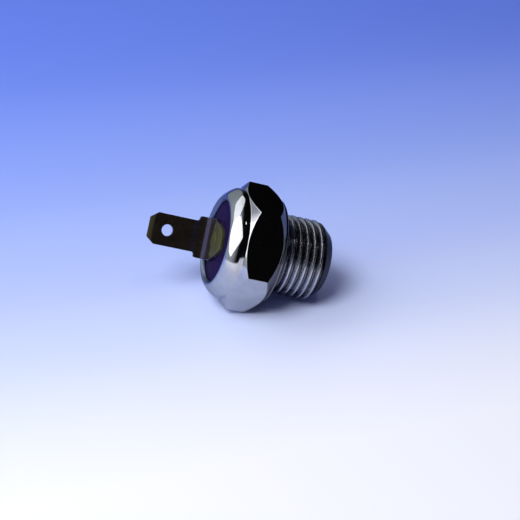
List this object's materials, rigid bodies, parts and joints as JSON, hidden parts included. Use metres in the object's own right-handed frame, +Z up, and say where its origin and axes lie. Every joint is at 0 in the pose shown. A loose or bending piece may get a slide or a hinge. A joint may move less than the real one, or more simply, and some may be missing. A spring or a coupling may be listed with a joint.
{
  "type": "radiator fan temperature switch",
  "caption": "Screw-in temperature switch with a hexagon body, threaded nose, rolled rim over a dark moulded head and a flat tab terminal standing off its axis.",
  "frame": {"origin": "centre of the threaded nose's flat end face, on the screw axis", "axes": "+Z up the screw axis from the nose towards the tab's tip; the tab's broad face looks along -Y; X runs across the tab's width"},
  "size_m": [0.0254, 0.0226, 0.0347],
  "materials": {
    "nickel_plate": "bright nickel plate",
    "moulding": "glossy moulding",
    "seal_rubber": "smooth",
    "tab_brass": "rolled strip, dulled",
    "rivet_brass": "upset and dulled",
    "contact_silver": "satin silver",
    "leaf_bronze": "rolled bronze",
    "spring_steel": "plain",
    "guide_ceramic": "unglazed",
    "disc_bimetal": "rolled bimetal"
  },
  "bodies": {
    "body": {"hex_body": "nickel_plate", "cap": "moulding", "cap_seal": "seal_rubber", "terminal": "tab_brass", "terminal_rivet": "rivet_brass", "rivet_washer": "rivet_brass", "fixed_contact": "contact_silver", "ground_ring": "spring_steel", "guide_spring": "spring_steel", "pin_guide": "guide_ceramic", "disc_retainer": "spring_steel", "bimetal_disc": "disc_bimetal", "contact_spring": "leaf_bronze"},
    "push_pin": {"push_pin": "guide_ceramic"},
    "contact_button": {"moving_contact": "contact_silver"}
  },
  "joints": [
    {"name": "pin_slide", "type": "slide", "parent": "body", "child": "push_pin", "axis": [0, 0, 1], "range_m": [0, 0.0005], "deforming": ["bimetal_disc"]},
    {"name": "button_lift", "type": "slide", "parent": "body", "child": "contact_button", "axis": [0, 0, 1], "range_m": [0, 0.0005], "deforming": ["contact_spring"]}
  ],
  "couplings": [
    {"joint": "button_lift", "follows": "pin_slide", "ratio": 1}
  ]
}
